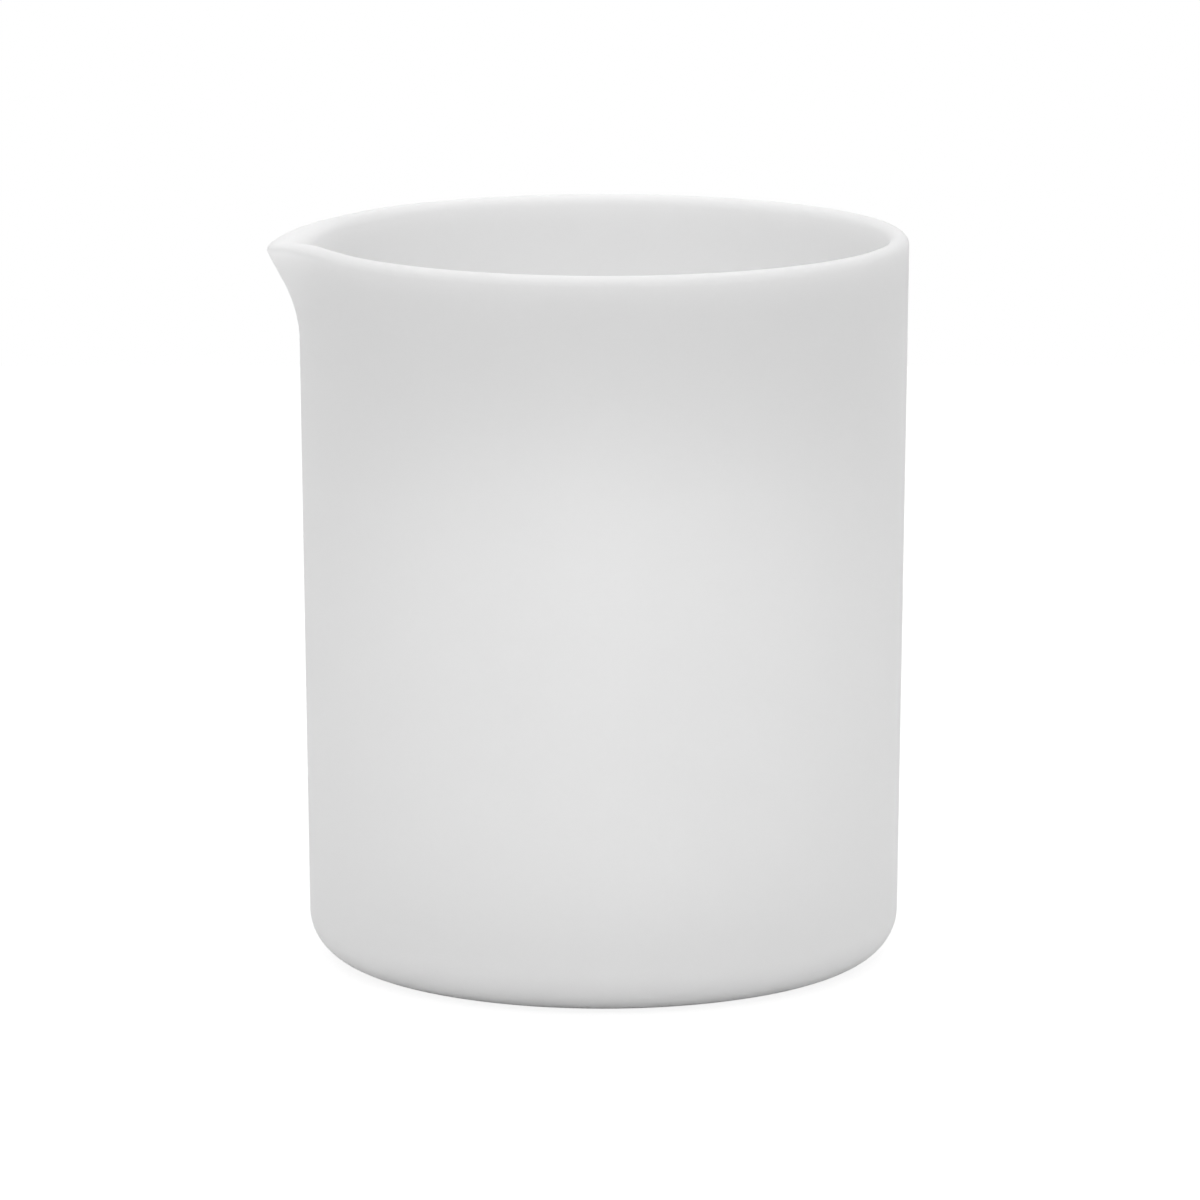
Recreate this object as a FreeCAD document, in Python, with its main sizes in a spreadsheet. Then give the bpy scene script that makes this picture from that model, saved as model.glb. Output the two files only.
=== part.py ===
"""PTFE beaker with a pulled pouring spout: one moulded piece, in millimetres.

The axis of the cup is Z, the origin is the centre of the flat underside, and the spout points along -X.
The wall is slightly wider at the rim than at the base. Below the rim it bends outwards on one side into
the spout: a round nose, seen from above, that straight flanks join to the round wall. The channel inside it
leans less than its back, so the wall is thickest at the nose. The lip of the spout dips a little below the
rest of the rim, and the rim is fully round all the way.

The pulled wall is worked out as one smooth surface, because lofted sections can't take the round rim. The
bottom and the rounds at its edges are features on top of it.
"""

import FreeCAD
import Part

import math
import os

import Sketcher
from FreeCAD import Placement, Rotation, Vector

NODE = "beaker"
SHEET = "dims"

# Driving dimensions: alias, value in millimetres (angles in degrees), note
DIMENSIONS = [
    ("rim_diameter", 73.0, "outer diameter of the wall at the rim, away from the spout"),
    ("base_diameter", 71.2, "outer diameter that the wall would reach at the underside"),
    ("height", 87.5, "underside to the top of the rim"),
    ("wall_thick", 2.4, "thickness of the side wall, seen from above"),
    ("floor_thick", 3.0, "thickness of the bottom"),
    ("base_round", 5.3, "outer radius where the wall meets the underside"),
    ("floor_round", 4.0, "inner radius where the wall meets the floor"),
    ("spout_depth", 13.2, "distance below the rim at which the wall starts to bend outwards"),
    ("spout_bend", 16.3, "radius of that bend, seen from the side"),
    ("spout_lean", 27.6, "angle between the back of the spout and the vertical"),
    ("spout_nose", 8.0, "outer radius of the nose of the spout, seen from above"),
    ("channel_lean", 12.0, "angle between the channel in the spout and the vertical"),
    ("channel_nose", 5.0, "radius of the nose of the channel, seen from above"),
    ("lip_run", 2.9, "distance inside the outer edge of the rim at which the lip starts to dip"),
    ("lip_curve", 10.8, "radius of the dip, seen from the side"),
]

# How finely the wall's surface is drawn
AROUND = 120  # points on each loop around the wall
CROWDING = 0.85  # 0 spaces them evenly, and towards 1 they crowd at the nose of the spout
LOWER_ROWS = 4  # loops on the plain wall, from the underside up
PLAIN_SHARE = 0.4  # plain wall above those, as a share of the spout's height
UPPER_ROWS = 20  # loops from there to the rim
GRADING = 1.6  # 1 spaces the upper loops evenly, and above it they crowd at the rim
RIM_ROWS = 12  # steps over the round of the rim
SECTORS = 3  # patches around the wall, with the spout in the middle one
SEEKING = 40  # rounds in which a point of the rim finds its level
NUDGE = 0.05  # half the step, in millimetres, with which the wall's direction at the rim is measured
TOUCH = 0.01  # how near a level or a radius an edge lies that belongs to it

# Numbers that the sketcher gives to the parts of a sketch
CIRCLE_CENTRE = 3
SKETCH_ORIGIN = (-1, 1)


def make_sheet(doc):
    """Writes the driving dimensions into a sheet, one row each, and returns the sheet."""
    sheet = doc.addObject("Spreadsheet::Sheet", SHEET)
    for row, (alias, value, note) in enumerate(DIMENSIONS, start=1):
        sheet.set(f"A{row}", alias)
        sheet.set(f"B{row}", str(value))
        sheet.set(f"C{row}", note)
        sheet.setAlias(f"B{row}", alias)
    doc.recompute()
    return sheet


class Wall:
    """The wall's shape as formulas of the level and of the azimuth, which is 0 at the nose of the spout."""

    def __init__(self, sheet):
        """Takes the sizes from the sheet's cells, each under its alias."""
        for alias, _, _ in DIMENSIONS:
            setattr(self, alias, float(sheet.get(alias)))
        self.draft = (self.rim_diameter - self.base_diameter) / (2 * self.height)
        self.root = self.height - self.spout_depth
        # each face of the wall: how far inside the outer surface it lies, its nose and its lean
        self.outside = (0, self.spout_nose, math.radians(self.spout_lean))
        self.inside = (self.wall_thick, self.channel_nose, math.radians(self.channel_lean))

    def reach(self, level, lean):
        """How far a nose stands out from the round wall at a level: an arc, and then a straight lean."""
        rise = max(0.0, level - self.root)
        in_bend = min(rise, self.spout_bend * math.sin(lean))
        drop = math.sqrt(self.spout_bend**2 - in_bend**2)
        return self.spout_bend - drop + (rise - in_bend) * math.tan(lean)

    def outline(self, azimuth, level, face):
        """Point of one face of the wall at an azimuth and a level.

        Seen from above at a level, a face is a large circle for the wall, a small one for the nose, and the
        two straight lines that touch both.
        """
        depth, nose, lean = face
        radius = self.base_diameter / 2 + self.draft * level - depth
        centre = radius + self.reach(level, lean) - nose
        turn = math.acos((radius - nose) / centre)
        nose_end = math.atan2(nose * math.sin(turn), centre + nose * math.cos(turn))
        side = abs(azimuth)
        if side >= turn:
            distance = radius
        elif side > nose_end:
            distance = radius / math.cos(turn - side)
        else:
            across = centre * math.sin(side)
            distance = centre * math.cos(side) + math.sqrt(nose**2 - across**2)
        return Vector(-distance * math.cos(azimuth), distance * math.sin(azimuth), level)

    def rim_ends(self, azimuth):
        """Points where the rim's round starts outside and ends inside, lower where the lip dips."""
        dip_start = self.rim_diameter / 2 - self.lip_run
        top = self.height - self.wall_thick / 2
        level = top
        for _ in range(SEEKING):
            outer = self.outline(azimuth, level, self.outside)
            inner = self.outline(azimuth, level, self.inside)
            past = max(0.0, -(outer.x + inner.x) / 2 - dip_start)
            level = top - self.lip_curve + math.sqrt(self.lip_curve**2 - past**2)
        return outer, inner

    def climb(self, azimuth, level, face):
        """Direction in which a face of the wall goes up at an azimuth."""
        step = self.outline(azimuth, level + NUDGE, face) - self.outline(azimuth, level - NUDGE, face)
        return step.normalize()

    def levels(self, top):
        """Levels of the loops on one face of the wall, from the underside to below the round of the rim."""
        plain_top = self.root - PLAIN_SHARE * (top - self.root)
        lower = [plain_top * row / LOWER_ROWS for row in range(LOWER_ROWS)]
        left = [(1 - row / UPPER_ROWS) ** GRADING for row in range(UPPER_ROWS)]
        return lower + [top - (top - plain_top) * share for share in left]

    def column(self, azimuth):
        """Points at an azimuth from the underside up the outside, over the rim and down the inside.

        Over the rim they follow half an ellipse, as high as half the wall's thickness, that leaves and meets
        the two faces in their own directions.
        """
        outer, inner = self.rim_ends(azimuth)
        middle, across = (outer + inner) * 0.5, (outer - inner) * 0.5
        outer_up = self.climb(azimuth, outer.z, self.outside)
        inner_up = self.climb(azimuth, inner.z, self.inside)
        levels = self.levels(outer.z)
        outside = [self.outline(azimuth, level, self.outside) for level in levels]
        rim = []
        for step in range(RIM_ROWS + 1):
            angle = math.pi * step / RIM_ROWS
            share = math.cos(angle / 2) ** 2
            up = (outer_up * share + inner_up * (1 - share)) * (self.wall_thick / 2)
            rim.append(middle + across * math.cos(angle) + up * math.sin(angle))
        inside = [self.outline(azimuth, level, self.inside) for level in reversed(levels)]
        return outside + rim + inside

    def surface(self):
        """Smooth surface through all the loops, with its seam opposite the spout, and the loops' places."""
        turns = [2 * math.pi * index / AROUND - math.pi for index in range(AROUND)]
        columns = [self.column(turn - CROWDING * math.sin(turn)) for turn in turns]
        places = [0.0]
        for before, point in zip(columns[0], columns[0][1:]):
            places.append(places[-1] + (point - before).Length)
        loops = []
        for row in zip(*columns):
            loop = Part.BSplineCurve()
            loop.interpolate(Points=list(row), Parameters=list(range(AROUND + 1)), PeriodicFlag=True)
            loop.setNotPeriodic()
            loops.append(loop)
        profiles = []
        for line in zip(*[loop.getPoles() for loop in loops]):
            profile = Part.BSplineCurve()
            profile.interpolate(Points=list(line), Parameters=places)
            profiles.append(profile)
        surface = Part.BSplineSurface()
        surface.buildFromPolesMultsKnots(
            [profile.getPoles() for profile in profiles],
            loops[0].getMultiplicities(), profiles[0].getMultiplicities(),
            loops[0].getKnots(), profiles[0].getKnots(),
            False, False, loops[0].Degree, profiles[0].Degree,
        )
        return surface, places

    def solid(self):
        """The wall as an open tube with its round rim and its spout, flat at the underside."""
        surface, places = self.surface()
        side_rows = LOWER_ROWS + UPPER_ROWS
        bands = [places[0], places[side_rows], places[side_rows + RIM_ROWS], places[-1]]
        sectors = [AROUND * sector / SECTORS for sector in range(SECTORS + 1)]
        patches = []
        for first, last in zip(sectors, sectors[1:]):
            for low, high in zip(bands, bands[1:]):
                patch = surface.copy()
                patch.segment(first, last, low, high)
                patches.append(patch.toShape())
        skin = Part.Shell(patches)
        skin.sewShape()
        ends = [edge for edge in skin.Edges if edge.BoundBox.ZMax < TOUCH]
        rings = [Part.Wire(ring) for ring in Part.sortEdges(ends)]
        shell = Part.Shell(skin.Faces + [Part.makeFace(rings, "Part::FaceMakerBullseye")])
        shell.sewShape()
        solid = Part.Solid(shell)
        return solid if solid.Volume > 0 else solid.reversed()


def make_wall(doc, sheet):
    """Adds the pulled wall, from which the body starts."""
    wall = doc.addObject("Part::Feature", "pulled_wall")
    wall.Shape = Wall(sheet).solid()
    return wall


def add_floor(body):
    """Closes the bottom with a disc whose edge lies inside the wall."""
    planes = {feature.Role: feature for feature in body.Origin.OriginFeatures}
    sketch = body.newObject("Sketcher::SketchObject", "floor_outline")
    sketch.AttachmentSupport = [(planes["XY_Plane"], "")]
    sketch.MapMode = "FlatFace"
    disc = sketch.addGeometry(Part.Circle(), False)
    sketch.addConstraint(Sketcher.Constraint("Coincident", disc, CIRCLE_CENTRE, *SKETCH_ORIGIN))
    diameter = sketch.addConstraint(Sketcher.Constraint("Diameter", disc, 2 * sketch.Geometry[disc].Radius))
    sketch.renameConstraint(diameter, "disc_diameter")
    sketch.setExpression("Constraints.disc_diameter", f"{SHEET}.base_diameter - {SHEET}.wall_thick")
    floor = body.newObject("PartDesign::Pad", "floor")
    floor.Profile = sketch
    floor.setExpression("Length", f"{SHEET}.floor_thick")
    body.Document.recompute()
    return floor


def ring_edges(shape, level, outermost):
    """Names of the edges that go round the cup at a level, the outermost or the innermost ones."""
    radii = {}
    for index, edge in enumerate(shape.Edges, start=1):
        box = edge.BoundBox
        if max(abs(box.ZMin - level), abs(box.ZMax - level)) < TOUCH:
            middle = edge.valueAt((edge.FirstParameter + edge.LastParameter) / 2)
            radii[f"Edge{index}"] = math.hypot(middle.x, middle.y)
    wanted = max(radii.values()) if outermost else min(radii.values())
    return [name for name, radius in radii.items() if abs(radius - wanted) < TOUCH]


def round_ring(body, base, name, level, outermost, radius):
    """Rounds the edge that goes round the cup at a level, with a radius from the sheet."""
    fillet = body.newObject("PartDesign::Fillet", name)
    fillet.Base = (base, ring_edges(base.Shape, level, outermost))
    fillet.setExpression("Radius", f"{SHEET}.{radius}")
    body.Document.recompute()
    return fillet


def make_beaker(doc, sheet):
    """Builds the beaker: pulled wall, bottom, and the rounds where they meet."""
    wall = make_wall(doc, sheet)
    body = doc.addObject("PartDesign::Body", NODE)
    body.Label = NODE
    body.BaseFeature = wall
    doc.recompute()
    floor = add_floor(body)
    heel = round_ring(body, floor, "base_fillet", 0, True, "base_round")
    round_ring(body, heel, "floor_fillet", float(sheet.get("floor_thick")), False, "floor_round")
    body.Placement = Placement(Vector(0, 0, 0), Rotation())
    doc.recompute()
    return body


def check(doc, body):
    """Stops the build if any object failed or the beaker isn't one valid solid."""
    for item in doc.Objects:
        if "Invalid" in item.State or "Error" in item.State:
            raise RuntimeError(f"{item.Name} failed: {item.State}")
    shape = body.Shape
    if shape.isNull() or not shape.isValid() or len(shape.Solids) != 1:
        raise RuntimeError(f"{body.Label} isn't one valid solid")


def main():
    """Builds the document and writes one STEP file for the node."""
    doc = FreeCAD.newDocument("ptfe_beaker")
    sheet = make_sheet(doc)
    body = make_beaker(doc, sheet)
    check(doc, body)
    os.makedirs("parts", exist_ok=True)
    body.Shape.exportStep(f"parts/{body.Label}.step")
    print(f"{body.Label}: {body.Shape.Volume:.0f} cubic mm, {len(body.Shape.Faces)} faces")


main()
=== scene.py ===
import math

import bpy
import numpy as np
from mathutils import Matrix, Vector


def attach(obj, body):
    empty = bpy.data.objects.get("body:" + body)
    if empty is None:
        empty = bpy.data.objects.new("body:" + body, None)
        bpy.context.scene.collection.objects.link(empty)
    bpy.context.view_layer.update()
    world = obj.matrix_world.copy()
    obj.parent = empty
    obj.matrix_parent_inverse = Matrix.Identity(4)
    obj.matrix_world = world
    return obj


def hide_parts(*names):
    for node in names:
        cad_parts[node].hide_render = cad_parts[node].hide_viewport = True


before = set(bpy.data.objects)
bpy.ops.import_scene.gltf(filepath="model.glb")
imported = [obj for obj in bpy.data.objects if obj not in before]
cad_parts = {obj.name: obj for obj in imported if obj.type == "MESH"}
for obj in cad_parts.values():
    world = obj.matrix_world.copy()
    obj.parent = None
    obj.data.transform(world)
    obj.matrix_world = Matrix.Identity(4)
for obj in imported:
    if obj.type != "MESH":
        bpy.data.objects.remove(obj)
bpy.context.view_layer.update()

mm = 0.001

# The beaker in millimetres: axis Z, underside at 0, spout along -X
beaker = dict(
    rimRadius=36.5, baseRadius=35.6, height=87.5, wall=2.4, floor=3.0,
    baseRound=5.3, floorRound=4.0,
    spoutDepth=13.2, spoutBend=16.3, spoutLean=math.radians(27.6), spoutNose=8,
    channelLean=math.radians(12), channelNose=5, lipRun=2.9, lipCurve=10.8,
    around=360, crowding=0.8,  # columns round the cup, crowding at the nose of the spout
    discRings=10, cornerRows=14, lowerRows=26, upperRows=46, rimRows=18,
    fineZone=1.4, grading=1.6,  # upper rows start this many spout depths below the rim and draw together
    lipRounds=40, slopeStep=0.05,  # rounds of settling the lip's level, reach when the wall's slope is taken
)


def draft(b):
    # how much the radius grows for each millimetre up
    return (b["rimRadius"] - b["baseRadius"]) / b["height"]


def ringRow(azimuth, distance, height):
    # points round the axis, azimuth 0 at the spout
    return np.stack([-distance * np.cos(azimuth), distance * np.sin(azimuth), height + 0 * azimuth], -1)


def noseReach(b, level, lean):
    # how far the nose stands out at a level: an arc from the root up, then a straight lean
    rise = np.maximum(level - (b["height"] - b["spoutDepth"]), 0)
    inBend = np.minimum(rise, b["spoutBend"] * math.sin(lean))
    drop = np.sqrt(b["spoutBend"] ** 2 - inBend**2)
    return b["spoutBend"] - drop + (rise - inBend) * math.tan(lean)


def wallOutline(b, azimuth, level, face):
    # seen from above: a large circle for the wall, a small one for the nose, two lines that touch both
    thickness, nose, lean = dict(
        outside=(0, b["spoutNose"], b["spoutLean"]),
        inside=(b["wall"], b["channelNose"], b["channelLean"]),
    )[face]
    radius = b["baseRadius"] + draft(b) * level - thickness
    centre = radius + noseReach(b, level, lean) - nose
    turn = np.arccos(np.clip((radius - nose) / centre, -1, 1))
    noseEnd = np.arctan2(nose * np.sin(turn), centre + nose * np.cos(turn))
    side = np.abs(azimuth)
    onNose = side < np.minimum(noseEnd, turn)
    across = np.where(onNose, centre * np.sin(side), 0)
    noseDistance = centre * np.cos(side) + np.sqrt(nose**2 - across**2)
    distance = np.where(onNose, noseDistance, radius / np.cos(np.maximum(turn - side, 0)))
    return ringRow(azimuth, distance, level)


def rimEnds(b, azimuth):
    # where the rim's round starts outside and ends inside: level all round, and dipping in an arc along
    # the lip; the dip hangs on how far out the lip stands and that on the dip, so both settle in rounds
    top = b["height"] - b["wall"] / 2
    level = np.full_like(azimuth, top)
    for _ in range(b["lipRounds"]):
        outer, inner = (wallOutline(b, azimuth, level, face) for face in ("outside", "inside"))
        past = np.maximum(-(outer + inner)[:, 0] / 2 - (b["rimRadius"] - b["lipRun"]), 0)
        level = top - b["lipCurve"] + np.sqrt(b["lipCurve"] ** 2 - past**2)
    return outer, inner, level


def climb(b, azimuth, level, face):
    # direction of the wall's face going up
    above = wallOutline(b, azimuth, level + b["slopeStep"], face)
    below = wallOutline(b, azimuth, level - b["slopeStep"], face)
    return (above - below) / np.linalg.norm(above - below, axis=1)[:, None]


def cornerRows(b, radius, level, corner, azimuth):
    # round between a flat at a level and the leaning wall, which would meet the flat at a radius
    tilt = math.atan(draft(b))
    centre = radius + draft(b) * corner - corner / math.cos(tilt)
    for angle in np.linspace(-math.pi / 2, -tilt, b["cornerRows"] + 1):
        distance = centre + corner * math.cos(angle)
        yield ringRow(azimuth, distance, level + corner * (1 + math.sin(angle)))


def discRows(b, radius, level, azimuth):
    # rings of a flat disc, from near its centre to just inside its edge
    for share in (np.arange(b["discRings"]) + 0.5) / b["discRings"]:
        yield ringRow(azimuth, radius * share, level)


def wallLevels(b, bottom, top):
    # levels of the rows on one face of the wall: even on the plain part, closer towards the rim
    plainTop = b["height"] - b["spoutDepth"] * b["fineZone"]
    lower = bottom + (plainTop - bottom) * np.arange(1, b["lowerRows"])[:, None] / b["lowerRows"]
    left = (1 - np.arange(b["upperRows"])[:, None] / b["upperRows"]) ** b["grading"]
    return np.concatenate([lower + 0 * top, top - (top - plainTop) * left])


def beakerRows(b):
    # one closed profile at each azimuth: underside, base round, outside, rim, inside, floor round, floor
    turn = (np.arange(b["around"]) + 0.5) * 2 * math.pi / b["around"] - math.pi
    azimuth = turn - b["crowding"] * np.sin(turn)
    outer, inner, level = rimEnds(b, azimuth)
    middle, across = (outer + inner) / 2, (outer - inner) / 2
    outerUp, innerUp = (climb(b, azimuth, level, face) * b["wall"] / 2 for face in ("outside", "inside"))

    tilt = math.atan(draft(b))
    outerFlat = b["baseRadius"] + draft(b) * b["baseRound"] - b["baseRound"] / math.cos(tilt)
    innerFoot = b["baseRadius"] - b["wall"] + draft(b) * b["floor"]
    innerFlat = innerFoot + draft(b) * b["floorRound"] - b["floorRound"] / math.cos(tilt)
    outerStart = b["baseRound"] * (1 - math.sin(tilt))
    innerStart = b["floor"] + b["floorRound"] * (1 - math.sin(tilt))

    rows = list(discRows(b, outerFlat, 0, azimuth))
    rows += list(cornerRows(b, b["baseRadius"], 0, b["baseRound"], azimuth))
    for rowLevel in wallLevels(b, outerStart, level):
        rows.append(wallOutline(b, azimuth, rowLevel, "outside"))
    for angle in np.linspace(0, math.pi, b["rimRows"] + 1):
        share = math.cos(angle / 2) ** 2  # the rim rises the way that its nearer face does
        rise = outerUp * share + innerUp * (1 - share)
        rows.append(middle + across * math.cos(angle) + rise * math.sin(angle))
    for rowLevel in wallLevels(b, innerStart, level)[::-1]:
        rows.append(wallOutline(b, azimuth, rowLevel, "inside"))
    rows += list(cornerRows(b, innerFoot, b["floor"], b["floorRound"], azimuth))[::-1]
    rows += list(discRows(b, innerFlat, b["floor"], azimuth))[::-1]
    return np.array(rows)


def gridMesh(name, rows, firstPole, lastPole):
    # closed skin from rows of points that go round, with a point in the middle at either end
    count, around = rows.shape[:2]
    points = np.concatenate([rows.reshape(-1, 3), [firstPole, lastPole]])
    here = np.arange(around)
    nextOne = (here + 1) % around
    row = np.arange(count - 1)[:, None] * around
    rowAbove = row + around
    quads = np.stack([row + here, rowAbove + here, rowAbove + nextOne, row + nextOne], -1).reshape(-1, 4)
    pole = count * around
    last = (count - 1) * around
    lowFan = np.stack([here, nextOne, np.full(around, pole)], -1)
    highFan = np.stack([last + nextOne, last + here, np.full(around, pole + 1)], -1)
    faces = quads.tolist() + lowFan.tolist() + highFan.tolist()
    mesh = bpy.data.meshes.new(name)
    mesh.from_pydata((points * mm).tolist(), [], faces)
    mesh.shade_smooth()
    mesh.validate()
    return mesh


def makeBeaker(b):
    rows = beakerRows(b)
    mesh = gridMesh("ptfeBeaker", rows, (0, 0, 0), (0, 0, b["floor"]))
    piece = bpy.data.objects.new("ptfeBeaker", mesh)
    bpy.context.scene.collection.objects.link(piece)
    volume = sum(f.area * f.normal.dot(f.center) for f in mesh.polygons) / 3
    print("beaker:", len(mesh.polygons), "faces,", round(volume * 1e6, 2), "cubic cm")
    return piece


# White PTFE: bright and waxy, light passes a little way below the surface
ptfe = dict(
    colour=(0.93, 0.93, 0.93), roughness=0.42, ior=1.38, depth=14 * mm,
    cloudSize=14 * mm, cloudTint=0.012, grainSize=0.9 * mm, grainTint=0.006,
    markPitch=0.42 * mm, markHeight=0.0012 * mm, orangeSize=2.2 * mm, orangeHeight=0.0022 * mm,
    roughSpread=0.07, scuffTop=1.6 * mm, scuffSize=1.75 * mm, scuffTint=0.03, scuffRough=0.12,
    floorLike=0.7,  # a face whose normal rises more than this has circles, the others have rings
)


def newGroup(name, outputs):
    # node group with an Object coordinate inside and the named outputs
    group = bpy.data.node_groups.new(name, "ShaderNodeTree")
    for output, kind in outputs:
        group.interface.new_socket(output, in_out="OUTPUT", socket_type=kind)
    nodes = group.nodes
    return group, nodes.new("ShaderNodeTexCoord").outputs["Object"], nodes.new("NodeGroupOutput")


def maths(group, operation, first, second=None):
    node = group.nodes.new("ShaderNodeMath")
    node.operation = operation
    for socket, value in zip(node.inputs, (first, second)):
        if value is None:
            continue
        if isinstance(value, (int, float)):
            socket.default_value = value
        else:
            group.links.new(value, socket)
    return node.outputs[0]


def noise(group, where, size, detail):
    node = group.nodes.new("ShaderNodeTexNoise")
    node.inputs["Scale"].default_value = 1 / size
    node.inputs["Detail"].default_value = detail
    group.links.new(where, node.inputs["Vector"])
    return node.outputs["Fac"]


def makeCloudGroup(m):
    # faint clouds and grain from the pressed powder, and scuffs where the foot slides on the bench
    outputs = [("Colour", "NodeSocketColor"), ("Roughness", "NodeSocketFloat")]
    group, where, out = newGroup("ptfeCloud", outputs)
    clouds = maths(group, "SUBTRACT", noise(group, where, m["cloudSize"], 3), 0.5)
    grain = maths(group, "SUBTRACT", noise(group, where, m["grainSize"], 1), 0.5)
    split = group.nodes.new("ShaderNodeSeparateXYZ")
    group.links.new(where, split.inputs[0])
    low = maths(group, "SUBTRACT", 1, maths(group, "DIVIDE", split.outputs["Z"], m["scuffTop"]))
    foot = maths(group, "MAXIMUM", low, 0)
    worn = maths(group, "MULTIPLY", foot, noise(group, where, m["scuffSize"], 4))
    cloudShade = maths(group, "MULTIPLY", clouds, m["cloudTint"])
    grainShade = maths(group, "MULTIPLY", grain, m["grainTint"])
    tint = maths(group, "ADD", cloudShade, grainShade)
    tint = maths(group, "SUBTRACT", tint, maths(group, "MULTIPLY", worn, m["scuffTint"]))
    colour = group.nodes.new("ShaderNodeCombineColor")
    for socket, part in zip(colour.inputs, m["colour"]):
        group.links.new(maths(group, "ADD", tint, part), socket)
    rough = maths(group, "ADD", maths(group, "MULTIPLY", clouds, m["roughSpread"]), m["roughness"])
    rough = maths(group, "ADD", rough, maths(group, "MULTIPLY", worn, m["scuffRough"]))
    group.links.new(colour.outputs[0], out.inputs["Colour"])
    group.links.new(rough, out.inputs["Roughness"])
    return group


def makeMarkGroup(m):
    # height of the lathe's fine turning marks: rings up the wall, circles on the floor and underside
    group, where, out = newGroup("turningMarks", [("Height", "NodeSocketFloat")])
    split = group.nodes.new("ShaderNodeSeparateXYZ")
    group.links.new(where, split.inputs[0])
    squares = [maths(group, "MULTIPLY", split.outputs[axis], split.outputs[axis]) for axis in ("X", "Y")]
    radius = maths(group, "SQRT", maths(group, "ADD", *squares))
    shape = group.nodes.new("ShaderNodeNewGeometry")
    tilt = group.nodes.new("ShaderNodeSeparateXYZ")
    group.links.new(shape.outputs["True Normal"], tilt.inputs[0])
    flat = maths(group, "GREATER_THAN", maths(group, "ABSOLUTE", tilt.outputs["Z"]), m["floorLike"])
    along = group.nodes.new("ShaderNodeMix")
    group.links.new(flat, along.inputs["Factor"])
    group.links.new(split.outputs["Z"], along.inputs["A"])
    group.links.new(radius, along.inputs["B"])
    wander = maths(group, "MULTIPLY", noise(group, where, m["cloudSize"], 2), m["markPitch"])
    place = maths(group, "ADD", along.outputs["Result"], wander)
    turns = maths(group, "MULTIPLY", place, 2 * math.pi / m["markPitch"])
    marks = maths(group, "MULTIPLY", maths(group, "SINE", turns), m["markHeight"])
    skin = maths(group, "MULTIPLY", noise(group, where, m["orangeSize"], 2), m["orangeHeight"])
    group.links.new(maths(group, "ADD", marks, skin), out.inputs["Height"])
    return group


def ptfeMaterial(m):
    material = bpy.data.materials.new("whitePtfe")
    material.use_nodes = True
    nodes, links = material.node_tree.nodes, material.node_tree.links
    skin = nodes["Principled BSDF"]
    skin.inputs["IOR"].default_value = m["ior"]
    skin.inputs["Subsurface Weight"].default_value = 1
    skin.inputs["Subsurface Radius"].default_value = (1, 1, 1)
    skin.inputs["Subsurface Scale"].default_value = m["depth"]
    cloud, marks, bump = (nodes.new("ShaderNode" + kind) for kind in ("Group", "Group", "Bump"))
    cloud.node_tree = makeCloudGroup(m)
    marks.node_tree = makeMarkGroup(m)
    bump.inputs["Distance"].default_value = 1
    links.new(cloud.outputs["Colour"], skin.inputs["Base Color"])
    links.new(cloud.outputs["Roughness"], skin.inputs["Roughness"])
    links.new(marks.outputs["Height"], bump.inputs["Height"])
    links.new(bump.outputs["Normal"], skin.inputs["Normal"])
    print("material:", material.name)
    return material


piece = makeBeaker(beaker)
piece.data.materials.append(ptfeMaterial(ptfe))
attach(piece, "root")
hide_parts("beaker")

# Pale table: white to the camera but for a soft shadow, and of limited size to the lamps
tableTop = dict(half=0.45, colour=(0.86, 0.86, 0.86, 1), ownWhite=0.86, shade=(0.22, 0.22, 0.22, 1))


def makeTable(t):
    half = t["half"]
    mesh = bpy.data.meshes.new("table")
    corners = [(-half, -half, 0), (half, -half, 0), (half, half, 0), (-half, half, 0)]
    mesh.from_pydata(corners, [], [(0, 1, 2, 3)])
    table = bpy.data.objects.new("table", mesh)
    bpy.context.scene.collection.objects.link(table)
    # the camera sees a constant white plus a little of the light that falls there: only the shadow is grey
    material = bpy.data.materials.new("tableWhite")
    material.use_nodes = True
    nodes, links = material.node_tree.nodes, material.node_tree.links
    nodes.clear()
    path, ownWhite, seen, shade, board, pick, out = (nodes.new("ShaderNode" + kind) for kind in (
        "LightPath", "Emission", "AddShader", "BsdfDiffuse", "BsdfDiffuse", "MixShader", "OutputMaterial"))
    ownWhite.inputs["Strength"].default_value = t["ownWhite"]
    shade.inputs["Color"].default_value = t["shade"]
    board.inputs["Color"].default_value = t["colour"]
    links.new(ownWhite.outputs[0], seen.inputs[0])
    links.new(shade.outputs[0], seen.inputs[1])
    links.new(path.outputs["Is Camera Ray"], pick.inputs[0])
    links.new(board.outputs[0], pick.inputs[1])
    links.new(seen.outputs[0], pick.inputs[2])
    links.new(pick.outputs[0], out.inputs["Surface"])
    mesh.materials.append(material)
    print("table:", material.name)


makeTable(tableTop)

# Studio light: a dome that is bright overhead and behind, a soft box above, and a soft oval light from the
# front
light = dict(
    dome=1.09, backGlow=0.85, domeSpread=0.45, least=1e-4,
    topBox=dict(place=(0, 0, 0.45), aim=(0, 0, 0.04), size=0.45, power=0.31),
    frontSpot=dict(
        place=(0, -0.8, 0.2), aim=(0, -0.036, 0.037), power=6.5,
        angle=math.radians(6), wide=1.8, blend=0.9, softness=0.01,
    ),
)


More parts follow.
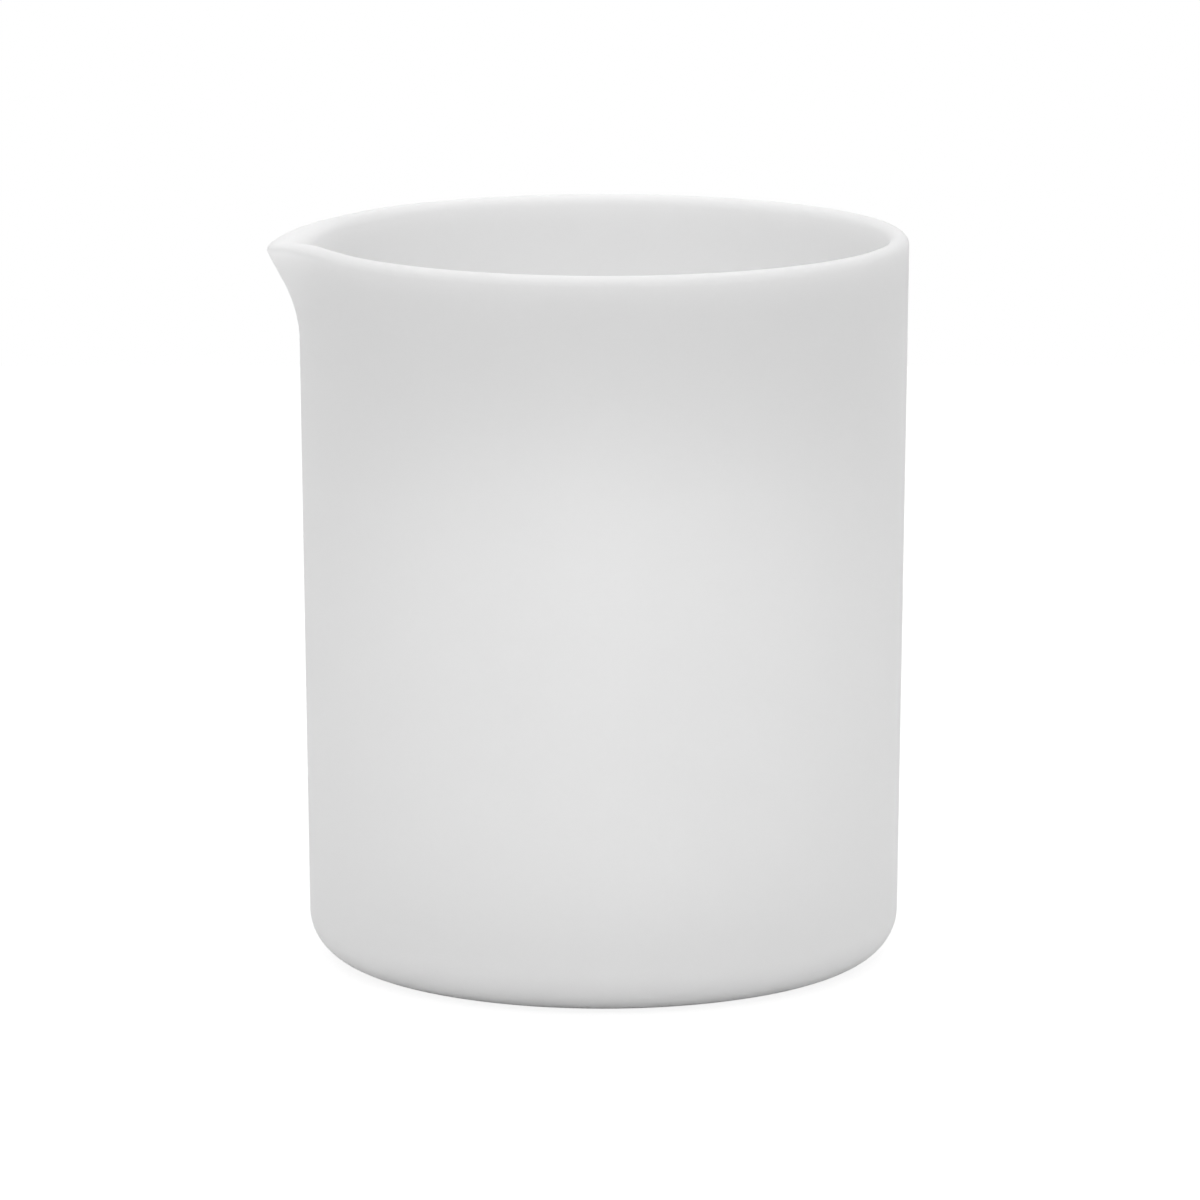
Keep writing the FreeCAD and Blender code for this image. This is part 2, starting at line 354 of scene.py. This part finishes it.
def makeDome(l):
    # strength grows from nothing at the horizon to full overhead, where the glow behind fades; the camera
    # sees plain white
    world = bpy.data.worlds.new("dome")
    bpy.context.scene.world = world
    world.use_nodes = True
    tree = world.node_tree
    nodes, links = tree.nodes, tree.links
    nodes.clear()
    way, split, path, lit, white, pick, out = (nodes.new("ShaderNode" + kind) for kind in (
        "TexCoord", "SeparateXYZ", "LightPath", "Background", "Background", "MixShader", "OutputWorld"))
    links.new(way.outputs["Generated"], split.inputs[0])
    x, y, z = split.outputs
    level = maths(tree, "MULTIPLY", z, z)
    fall = maths(tree, "EXPONENT", maths(tree, "MULTIPLY", level, -1 / l["domeSpread"] ** 2))
    above = maths(tree, "MULTIPLY", maths(tree, "GREATER_THAN", z, 0), l["dome"])
    overhead = maths(tree, "MULTIPLY", maths(tree, "SUBTRACT", 1, fall), above)
    behind = maths(tree, "MAXIMUM", y, 0)
    flat = maths(tree, "MAXIMUM", maths(tree, "SUBTRACT", 1, level), l["least"])
    share = maths(tree, "DIVIDE", maths(tree, "MULTIPLY", behind, behind), flat)
    glow = maths(tree, "MULTIPLY", maths(tree, "MULTIPLY", share, fall), l["backGlow"])
    links.new(maths(tree, "ADD", overhead, glow), lit.inputs["Strength"])
    lit.inputs["Color"].default_value = (1, 1, 1, 1)
    white.inputs["Color"].default_value = (1, 1, 1, 1)
    links.new(path.outputs["Is Camera Ray"], pick.inputs[0])
    links.new(lit.outputs[0], pick.inputs[1])
    links.new(white.outputs[0], pick.inputs[2])
    links.new(pick.outputs[0], out.inputs["Surface"])


def placeLamp(name, kind, l):
    lamp = bpy.data.lights.new(name, kind)
    lamp.energy = l["power"]
    holder = bpy.data.objects.new(name, lamp)
    holder.location = l["place"]
    holder.rotation_euler = (Vector(l["aim"]) - Vector(l["place"])).to_track_quat("-Z", "Y").to_euler()
    holder.visible_camera = False
    bpy.context.scene.collection.objects.link(holder)
    return holder


def makeLights(l):
    makeDome(l)
    box = placeLamp("topBox", "AREA", l["topBox"])
    box.data.shape = "SQUARE"
    box.data.size = l["topBox"]["size"]
    spot = placeLamp("frontSpot", "SPOT", l["frontSpot"])
    spot.data.spot_size = l["frontSpot"]["angle"]
    spot.data.spot_blend = l["frontSpot"]["blend"]
    spot.data.shadow_soft_size = l["frontSpot"]["softness"]
    spot.scale.x = l["frontSpot"]["wide"]  # makes the round patch of light an oval
    print("lights: dome, top box, front spot")


makeLights(light)

# Camera as the photograph has it: where it stands, how far it looks down, its lens
camera = dict(
    distance=0.8364, height=0.2042, pitch=0.1905, sensor=36, nearest=0.05, farthest=20,
    focal=7062, frame=1200, centreX=603.6,  # in pixels of the photograph
)


def makeCamera(c):
    data = bpy.data.cameras.new("camera")
    data.sensor_width = c["sensor"]
    data.lens = c["sensor"] * c["focal"] / c["frame"]
    data.shift_x = -(c["centreX"] - c["frame"] / 2) / c["frame"]
    data.clip_start = c["nearest"]
    data.clip_end = c["farthest"]
    eye = bpy.data.objects.new("camera", data)
    eye.location = (0, -c["distance"], c["height"])
    eye.rotation_euler = (math.pi / 2 - c["pitch"], 0, 0)
    bpy.context.scene.collection.objects.link(eye)
    bpy.context.scene.camera = eye


makeCamera(camera)
bpy.context.scene.view_settings.view_transform = "Standard"
